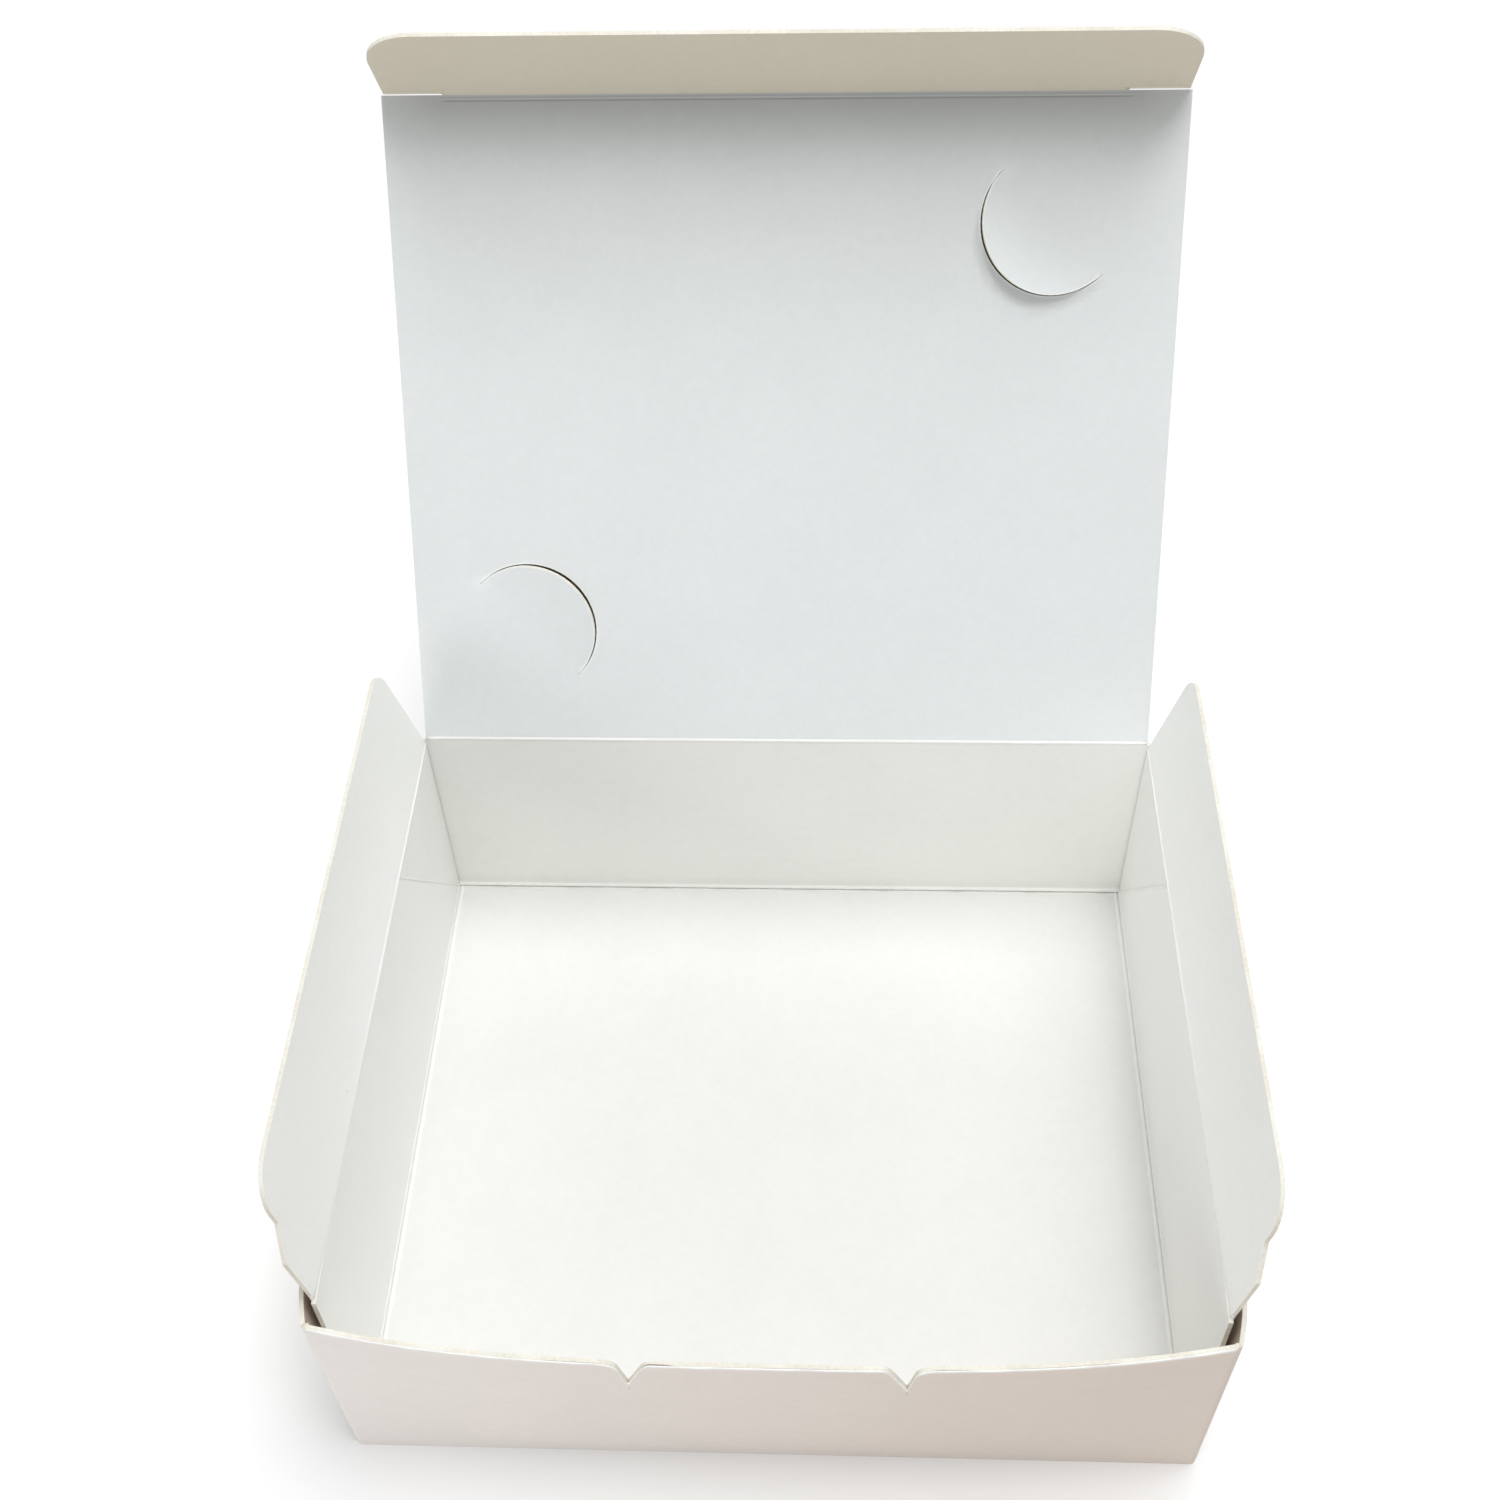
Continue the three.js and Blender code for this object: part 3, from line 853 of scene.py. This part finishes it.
# One half-moon: rings lead from a square block of the lid's grid to the half-disc, and a bent
# tongue grows from the half-disc's straight side. corner is +1 for the upper one.
def moonParts(corner, lift):
    cells = lid["blockCells"]
    count = 2 * cells
    centre = moonCentre(corner)
    hole = lid["moonRadius"] + lid["moonKerf"] / 2
    tongue = lid["moonRadius"] - lid["moonKerf"] / 2
    angles = np.linspace(0, math.pi, count + 1)
    arc = hole * (np.cos(angles)[:, None] * alongCut + np.sin(angles)[:, None] * acrossCut)
    inner = tongue * np.cos(np.linspace(0, math.pi, count - 1))
    straight = np.concatenate([[hole], inner, [-hole]])[:, None] * alongCut
    # The ring runs along the arc first, and then back along the straight side
    inside = np.concatenate([arc[:-1], straight[::-1][:-1]])
    outside = squareRound(np.zeros(2), lid["moonBlock"], cells)
    t = np.array(lid["ringShares"])[:, None, None]
    rings = outside * (1 - t) + inside * t
    rings = np.concatenate([rings, rings[:, :1]], 1)
    reach = np.sqrt(np.maximum(0, tongue ** 2 - np.sum(straight[1:-1] ** 2, 1)))
    reach = reach * (1 - lid["tongueShrink"] / tongue)
    v = np.concatenate([np.linspace(0, 0.93, lid["tongueSteps"]), lid["tongueFine"]])[:, None]
    out = v * reach[None, :]
    leaf = straight[None, 1:-1] + out[..., None] * acrossCut
    rise = lift * (out / lid["moonRadius"]) ** lid["bendPower"]
    flatZ = np.zeros(rings.shape[:2] + (1,))
    ringPoints = np.concatenate([corner * rings + centre, flatZ], -1).reshape(-1, 3)
    leafPoints = np.concatenate([corner * leaf + centre, rise[..., None]], -1).reshape(-1, 3)
    return [
        (ringPoints, gridFaces(rings.shape[0], rings.shape[1])[:, ::-1]),
        (leafPoints, gridFaces(leaf.shape[0], leaf.shape[1])),
    ]


# The lid's grid has lines at both blocks' edges; the cells inside the blocks are left out
def lidSurface():
    reach = lid["moonBlock"]
    right, far = moonCentre(1)
    left, near = moonCentre(-1)
    block = np.linspace(-reach, reach, lid["blockCells"] + 1)
    wide = lid["halfWidth"]
    low, high = board["foldGap"], lidLength - tuck["foldGap"]
    sideLines = lid["sideLines"]
    acrossLines, alongLines = lid["middleLines"]
    across = np.concatenate([
        np.linspace(-wide, left - reach, sideLines)[:-1], left + block,
        np.linspace(left + reach, right - reach, acrossLines)[1:-1],
        right + block, np.linspace(right + reach, wide, sideLines)[1:],
    ])
    along = np.concatenate([
        np.linspace(low, near - reach, sideLines)[:-1], near + block,
        np.linspace(near + reach, far - reach, alongLines)[1:-1],
        far + block, gatheredLine(far + reach, high, [high], *lid["foldGrid"])[1:],
    ])
    x, y = np.meshgrid(across, along, indexing="ij")
    points = pointsOf(x, y, 0.0)
    faces = gridFaces(len(across), len(along))
    middle = points[faces].mean(1)
    keep = np.ones(len(faces), bool)
    for centre in ((right, far), (left, near)):
        keep &= np.max(np.abs(middle[:, :2] - centre), axis=1) >= reach
    parts = [(points, faces[keep])]
    parts += moonParts(1, lid["upperLift"])
    parts += moonParts(-1, lid["lowerLift"])
    return weld(parts)


# Tones of the lid's inside: painted shade below the tuck flap, painted light and dark lines for the
# crease ridges beside its fold, painted highlights along the half-round cuts, which also whiten the skin
# a little, with a scuff at one end, a painted shade beside the upper tongue and painted light on that
# tongue
def lidTone(flat):
    x, y = flat[:, 0], flat[:, 1]
    fromFold = lidLength - y
    fromSide = lid["halfWidth"] - np.abs(x)
    shade = lid["nearShade"] * bell(fromFold, 0, lid["nearReach"])
    shade = shade + lid["farShade"] * bell(fromFold, 0, lid["farReach"])
    tone = shade * (1 - lid["sideFade"] * bell(fromSide, 0, lid["nearReach"]))
    creased = smoothStep(tuck["slit"] - 0.5, tuck["slit"] + 0.5, fromSide)
    # Painted light and dark lines for the crease ridges beside the fold
    for place, spread, amount in lid["creaseLines"]:
        tone = tone + amount * creased * bell(fromFold, place, spread)
    moon = lid["moonRadius"]
    for corner in (1, -1):
        away = flat[:, :2] - moonCentre(corner)
        radius = np.hypot(*away.T)
        outward = away @ acrossCut * corner
        onArc = smoothStep(0, 2, outward)
        # Painted highlight along both sides of each arc, with a little real whitening from the cut
        tone = tone + lid["arcHighlight"] * onArc * bell(radius, moon, lid["arcHighlightHalf"], 4)
        scuff = np.hypot(*(away - moon * alongCut).T)
        tone = tone + lid["scuffTone"] * bell(scuff, 0, lid["scuffReach"])
        if corner > 0:
            shifted = np.hypot(*(away - lid["moonShadow"]).T)
            below = smoothStep(moon + 0.5, moon - 0.7, shifted) * onArc
            tone = tone + lid["moonShadowTone"] * below * (radius > moon + 0.05)
            # Painted light: the upper tongue is brighter towards its arc
            tone = tone + lid["tongueHighlight"] * (radius < moon) * smoothStep(0, moon, outward)
    return tone


# Under each half-round cut a thin dark crescent, painted shadow for the slit, widest at the middle of the
# arc
def slitShadowCrescent(corner):
    angles = np.linspace(lid["slitShadowEnds"], math.pi - lid["slitShadowEnds"], lid["slitShadowGrid"][0])
    across = np.linspace(0, 1, lid["slitShadowGrid"][1])
    a, t = np.meshgrid(angles, across, indexing="ij")
    radius = lid["moonRadius"] + lid["slitShadowOverlap"] - t * lid["slitShadowReach"] * np.sin(a)
    flat = (radius * np.cos(a))[..., None] * alongCut + (radius * np.sin(a))[..., None] * acrossCut
    depth = np.full(a.shape + (1,), lid["slitShadowDepth"])
    points = np.concatenate([corner * flat + moonCentre(corner), depth], -1)
    return onLid(points.reshape(-1, 3)), gridFaces(*a.shape)


# Tuck flap: half its width at each distance from the fold, with two round outer corners
def tuckSurface():
    reach, radius = tuck["reach"], tuck["cornerRadius"]
    away = gatheredLine(tuck["foldGap"], reach, [reach], *tuck["grid"])
    share = np.linspace(-1, 1, tuck["stations"])
    w, u = np.meshgrid(away, share, indexing="ij")
    wide = lid["halfWidth"] - tuck["sideInset"] - roundedOff(w, reach, radius)
    points = pointsOf(u * wide, w, 0.0)
    points, faces = weld([(points, gridFaces(len(away), len(share))[:, ::-1])])
    return onTuck(points), faces


def buildLid():
    flat, faces = lidSurface()
    panel = meshObject("lid_board", onLid(flat), faces, [shadedLidCard, cutEdge])
    thicken(addTone(panel, lidTone(flat)))
    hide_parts("lid")
    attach(panel, "lid")
    # A dark crescent of painted shadow under each cut
    for corner, place in ((1, "upper"), (-1, "lower")):
        slitShadowPiece = meshObject(place + "_cut_slit_shadow", *slitShadowCrescent(corner), [slitShadowCard, slitShadowCard])
        thicken(slitShadowPiece, lid["slitShadowThickness"])
        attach(slitShadowPiece, "lid")
    outer = thicken(meshObject("tuck_flap_board", *tuckSurface(), [shadedTuckCard, cutEdge]))
    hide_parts("tuck_flap")
    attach(outer, "tuck_flap")


# Creases between moving panels: a short bent strip whose ends lie inside both boards
crease = {
    "overlap": 0.35,
    "halves": (0.37, 0.36),  # half the strip's thickness at its ends and in its middle
    "innerRidge": 0.28,
    "ridgeSpread": 0.15,  # as a share of the way across the strip
    "ridgeEven": (0.85, 0.15),  # the ridge's mean height and how much it varies
    "frontShare": 0.12,  # what is left of the side rims' ridge at the front
    "flatTone": 0.045,  # how much darker the strip is where its ridge has faded out, with less of its painted highlight
    "steps": 13,
    "stations": 81,
    "slitKerf": 0.2,
    "slitStart": 0.15,
}


# The strip's section follows a curve from one board to the other about the pivot. arriving and
# leaving are directions in the section plane. ridge is how much of the inner ridge it has.
def creaseSection(arriving, leaving, reachIn, reachOut, ridge):
    t = np.linspace(0, 1, crease["steps"])[:, None]
    start, end = -arriving * reachIn, leaving * reachOut
    centre = start * (1 - t) ** 2 + end * t ** 2
    along = -2 * (1 - t) * start + 2 * t * end
    along = along / np.linalg.norm(along, axis=1)[:, None]
    normal = np.stack([-along[:, 1], along[:, 0]], 1)
    ends, middle = crease["halves"]
    depth = ends + (middle - ends) * np.sin(math.pi * t)
    raised = depth + crease["innerRidge"] * ridge * bell(t, 0.5, crease["ridgeSpread"])
    return np.concatenate([centre + normal * raised, (centre - normal * depth)[::-1]])


# Carries the section of a fold along an axis of the frame. fade gives the ridge's share at each
# station. Sections are drawn for the right side, and side -1 mirrors one.
def creasePiece(name, fold, pivot, span, axis, material, fade, side=1):
    stations = np.linspace(span[0], span[1], crease["stations"])
    share = fade(stations)
    full, flat = [creaseSection(*fold, ridge) * (side, 1) for ridge in (1.0, 0.0)]
    rows = flat[None] + (full - flat)[None] * share[:, None, None]
    others = [k for k in range(3) if k != axis]
    points = np.zeros(rows.shape[:2] + (3,))
    points[..., axis] = stations[:, None]
    points[..., others[0]] = pivot[others[0]] + rows[..., 0]
    points[..., others[1]] = pivot[others[1]] + rows[..., 1]
    piece = meshObject(name, *closedStrip(points), [material])
    return addTone(piece, np.repeat((share - 1) * crease["flatTone"], len(full)))


def noRidge(stations):
    return np.zeros_like(stations)


def evenRidge(stations):
    mean, change = crease["ridgeEven"]
    return mean + change * np.sin(stations * 0.21) * np.sin(stations * 0.075 + 0.6)


# Ridges along the side rims stand up at the back and fade out towards the front
def fadingRidge(stations):
    least = crease["frontShare"]
    return least + (1 - least) * smoothStep(flap["front"] - 5, 25, stations) * evenRidge(stations)


def buildCreases():
    gap = board["foldGap"]
    reach = gap + crease["overlap"]
    up = np.array([0.0, 1.0])
    lidWay = np.array([math.cos(lidLean), math.sin(lidLean)])
    span = (-lid["halfWidth"], lid["halfWidth"])
    strip = creasePiece("lid_crease", (up, lidWay, reach, reach), lidPivot, span, 0,
                        litCreaseCard, evenRidge)
    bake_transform(strip)

    tuckWay = np.array([math.cos(tuckLean), math.sin(tuckLean)])
    gap = tuck["foldGap"]
    reach = gap + crease["overlap"]
    run = lid["halfWidth"] - tuck["slit"]
    strip = creasePiece("tuck_crease", (lidWay, tuckWay, reach, reach), tuckPivot, (-run, run), 0,
                        shadedTuckCard, noRidge)
    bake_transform(strip)
    # Beyond the fold's ends a slit parts the tuck flap from the lid
    slitFold = (lidWay, tuckWay, gap - crease["slitKerf"], reach)
    for side, place in ((-1, "left"), (1, "right")):
        span = sorted([side * (run + crease["slitStart"]), side * (lid["halfWidth"] - tuck["sideInset"])])
        strip = creasePiece(place + "_slit_edge", slitFold, tuckPivot, span, 0, cutEdge, noRidge)
        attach(strip, "tuck_flap")

    gap = board["foldGap"]
    reach = gap + crease["overlap"]
    lean = math.radians(flap["splay"])
    way = np.array([math.sin(lean), math.cos(lean)])
    for side, name in ((-1, "left"), (1, "right")):
        pivot = np.array([side * flapPivot[0], 0, flapPivot[2]])
        strip = creasePiece(name + "_flap_crease", (up, way, reach, reach), pivot,
                            (flap["front"], flap["back"]), 1, litCreaseCard, fadingRidge, side)
        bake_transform(strip)


buildTray()
buildRim()
print("tray made")
buildFlaps()
buildLid()
print("flaps and lid made")
buildCreases()
print("creases made")

# Camera at the photo's view: sizes in pixels, angles in degrees, place in millimetres
view = {
    "focalPixels": 1838.0,
    "frame": 1500,
    "sensor": 36.0,
    "yaw": -3.687,
    "pitch": 48.515,
    "roll": -2.329,
    "place": (9.679, -198.512, 351.045),
    "clipStart": 10.0,
}


# Forward from yaw and pitch, right level with the ground, and both turned by the roll
def placeCamera():
    yaw, pitch, roll = (math.radians(view[key]) for key in ("yaw", "pitch", "roll"))
    forward = Vector((math.sin(yaw) * math.cos(pitch), math.cos(yaw) * math.cos(pitch), -math.sin(pitch)))
    right = Vector((math.cos(yaw), -math.sin(yaw), 0))
    upward = right.cross(forward)
    rolledRight = right * math.cos(roll) + upward * math.sin(roll)
    rolledUp = upward * math.cos(roll) - right * math.sin(roll)
    lens = bpy.data.cameras.new("photoCamera")
    lens.sensor_width = view["sensor"]
    lens.lens = view["focalPixels"] / view["frame"] * view["sensor"]
    lens.clip_start = view["clipStart"] * mm
    camera = addObject("photoCamera", lens)
    turned = Matrix((rolledRight, rolledUp, -forward)).transposed().to_4x4()
    camera.matrix_world = Matrix.Translation(Vector(view["place"]) * mm) @ turned
    bpy.context.scene.camera = camera


# Light and floor, in metres and watts
studio = {
    "floorSize": 6.0,
    "floorDrop": 0.00002,
    "floorRoughness": 0.9,
    "fadeToWhite": (0.2, 0.55),  # from the middle of the carton
    "floorBounce": (0.72, 0.67, 0.62),  # what the floor sends back onto the carton
    "floorSeen": (0.99, 0.99, 0.99),  # what the camera sees of it
    "worldColour": (0.97, 0.985, 1.0),
    "worldStrength": 0.4,
}
lamps = {
    "overhead": {"power": 15.0, "size": 1.0, "place": (0.22, 0.26, 1.6), "aim": (0.0, 0.0, 0.0)},
    "frontKey": {"power": 5.4, "size": 0.45, "place": (0.14, -0.2, 1.62), "aim": (0.0, 0.0, 0.03)},
    "frontFill": {"power": 4.5, "size": 0.7, "place": (-0.8, -1.2, 0.4), "aim": (0.0, 0.0, 0.03)},
}


def buildLamp(name, lampSet):
    lamp = bpy.data.lights.new(name, "AREA")
    lamp.energy = lampSet["power"]
    lamp.size = lampSet["size"]
    made = addObject(name, lamp)
    made.location = lampSet["place"]
    toward = Vector(lampSet["aim"]) - Vector(lampSet["place"])
    made.rotation_euler = toward.to_track_quat("-Z", "Y").to_euler()


# A white floor a hair below the base: it keeps the shadow for the camera and gives back warmer
# light to the carton
def buildFloor():
    side = studio["floorSize"] / 2
    mesh = bpy.data.meshes.new("floor")
    corners = [(-side, -side), (side, -side), (side, side), (-side, side)]
    mesh.from_pydata([(x, y, -studio["floorDrop"]) for x, y in corners], [], [(0, 1, 2, 3)])
    g = Graph("floorPaper")
    rays = g.add("ShaderNodeLightPath").outputs["Is Camera Ray"]
    choice = g.mix(rays, (*studio["floorBounce"], 1.0), (*studio["floorSeen"], 1.0))
    g.feed(g.shader.inputs["Base Color"], choice)
    g.shader.inputs["Roughness"].default_value = studio["floorRoughness"]
    # Away from the carton's shadow the camera sees plain white
    place = g.add("ShaderNodeTexCoord").outputs["Object"]
    distance = g.add("ShaderNodeVectorMath", {0: place}, operation="LENGTH").outputs["Value"]
    far = g.math("MULTIPLY", g.ramp(distance, *studio["fadeToWhite"]), rays)
    white = g.add("ShaderNodeEmission", {"Color": (1.0, 1.0, 1.0, 1.0), "Strength": 1.0})
    mixer = g.add("ShaderNodeMixShader", {0: far, 1: g.shader.outputs[0], 2: white.outputs[0]})
    g.feed(g.nodes["Material Output"].inputs["Surface"], mixer.outputs[0])
    mesh.materials.append(g.material)
    addObject("floor", mesh)


# Soft cool light from all round, which the camera sees as plain white
def buildWorld():
    world = bpy.data.worlds.new("studioWorld")
    world.use_nodes = True
    nodes, links = world.node_tree.nodes, world.node_tree.links
    plain = nodes["Background"]
    plain.inputs["Color"].default_value = (*studio["worldColour"], 1.0)
    plain.inputs["Strength"].default_value = studio["worldStrength"]
    shown = nodes.new("ShaderNodeBackground")
    shown.inputs["Color"].default_value = (1.0, 1.0, 1.0, 1.0)
    mixer = nodes.new("ShaderNodeMixShader")
    rays = nodes.new("ShaderNodeLightPath")
    links.new(rays.outputs["Is Camera Ray"], mixer.inputs["Fac"])
    links.new(plain.outputs[0], mixer.inputs[1])
    links.new(shown.outputs[0], mixer.inputs[2])
    links.new(mixer.outputs[0], nodes["World Output"].inputs["Surface"])
    bpy.context.scene.world = world


placeCamera()
bpy.context.scene.view_settings.view_transform = "Standard"
buildFloor()
buildWorld()
for name, lampSet in lamps.items():
    buildLamp(name, lampSet)
print("camera and studio made")
